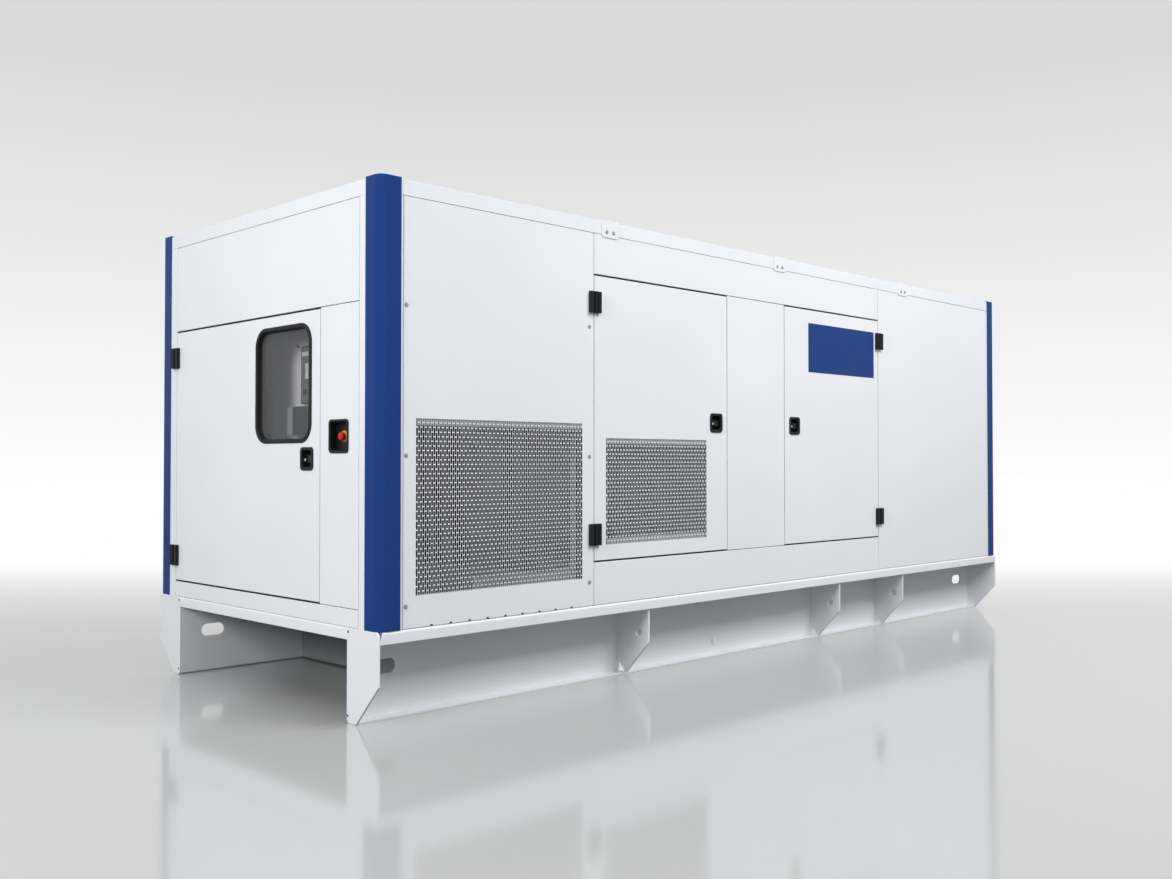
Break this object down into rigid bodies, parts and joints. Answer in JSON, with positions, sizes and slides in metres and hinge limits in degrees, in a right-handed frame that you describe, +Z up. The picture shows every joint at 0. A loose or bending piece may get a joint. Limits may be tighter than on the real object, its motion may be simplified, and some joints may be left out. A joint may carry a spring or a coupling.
{
  "type": "diesel generator",
  "caption": "Diesel generator in a sheet-metal weather enclosure on a skid base, with hinged service doors, punched air grilles, a windowed control door and a stop button.",
  "frame": {"origin": "centre of the base on the ground", "axes": "+Z up, +X along the enclosure away from the control end, -Y towards the long side with the doors"},
  "size_m": [5.338, 1.964, 2.206],
  "materials": {
    "white_paint": "satin powder coat",
    "blue_paint": "satin powder coat",
    "black_paint": "satin",
    "black_plastic": "moulded",
    "rubber": "extruded",
    "glass": "tinted",
    "grey_paint": "satin",
    "machine_grey": "painted",
    "red_plastic": "gloss",
    "yellow_plastic": "satin",
    "core_metal": "matt"
  },
  "bodies": {
    "enclosure": {"base_rail_front": "white_paint", "base_rail_rear": "white_paint", "base_gussets": "white_paint", "base_end_plates": "white_paint", "base_end_beams": "white_paint", "base_deck": "grey_paint", "fuel_tank": "grey_paint", "door_uprights": "grey_paint", "end_uprights": "grey_paint", "corner_uprights": "white_paint", "roof_frame": "grey_paint", "corner_trims": "blue_paint", "roof_sections": "white_paint", "roof_clamps": "white_paint", "front_intake_panel": "white_paint", "front_header": "white_paint", "front_sill": "white_paint", "front_middle_panel": "white_paint", "front_right_panel": "white_paint", "rear_intake_panel": "white_paint", "rear_wall_panels": "white_paint", "rear_doors": "white_paint", "hinge_frame_leaves": "black_paint", "rear_hinge_leaves": "black_paint", "rear_latches": "black_plastic", "rear_levers": "black_plastic", "end_header": "white_paint", "end_sill": "white_paint", "end_side_panel": "white_paint", "stop_housing": "black_plastic", "stop_collar": "yellow_plastic", "far_end_panel": "white_paint", "control_cabinet": "grey_paint", "control_module": "black_plastic", "breaker_box": "black_plastic", "machinery_skids": "grey_paint", "engine": "machine_grey", "cooling_fan": "black_plastic", "alternator": "machine_grey", "radiator": "core_metal"},
    "front_door_1": {"front_door_1": "white_paint", "front_door_1_hinges": "black_paint", "front_door_1_latch": "black_plastic"},
    "front_door_1_lever": {"front_door_1_lever": "black_plastic"},
    "front_door_2": {"front_door_2": "white_paint", "front_door_2_hinges": "black_paint", "front_door_2_latch": "black_plastic", "name_plate": "blue_paint"},
    "front_door_2_lever": {"front_door_2_lever": "black_plastic"},
    "end_door": {"end_door": "white_paint", "end_door_hinges": "black_paint", "end_door_latch": "black_plastic", "window_gasket": "rubber", "window_glass": "glass"},
    "end_door_lever": {"end_door_lever": "black_plastic"},
    "stop_button": {"stop_button": "red_plastic"}
  },
  "joints": [
    {"name": "front_door_1_hinge", "type": "hinge", "parent": "enclosure", "child": "front_door_1", "pos_m": [-1.449, -0.972, 1.265], "axis": [0, 0, -1], "range_deg": [0, 110]},
    {"name": "front_door_2_hinge", "type": "hinge", "parent": "enclosure", "child": "front_door_2", "pos_m": [1.077, -0.972, 1.265], "axis": [0, 0, 1], "range_deg": [0, 110]},
    {"name": "end_door_hinge", "type": "hinge", "parent": "enclosure", "child": "end_door", "pos_m": [-2.668, 0.802, 1.087], "axis": [0, 0, -1], "range_deg": [0, 110]},
    {"name": "front_door_1_lever_pivot", "type": "hinge", "parent": "front_door_1", "child": "front_door_1_lever", "pos_m": [-0.538, -0.951, 1.275], "axis": [-1, 0, 0], "range_deg": [0, 30]},
    {"name": "front_door_2_lever_pivot", "type": "hinge", "parent": "front_door_2", "child": "front_door_2_lever", "pos_m": [0.172, -0.951, 1.275], "axis": [-1, 0, 0], "range_deg": [0, 30]},
    {"name": "end_door_lever_pivot", "type": "hinge", "parent": "end_door", "child": "end_door_lever", "pos_m": [-2.647, -0.428, 1.085], "axis": [0, 1, 0], "range_deg": [0, 30]},
    {"name": "stop_button_push", "type": "slide", "parent": "enclosure", "child": "stop_button", "axis": [1, 0, 0], "range_m": [0, 0.005]}
  ]
}
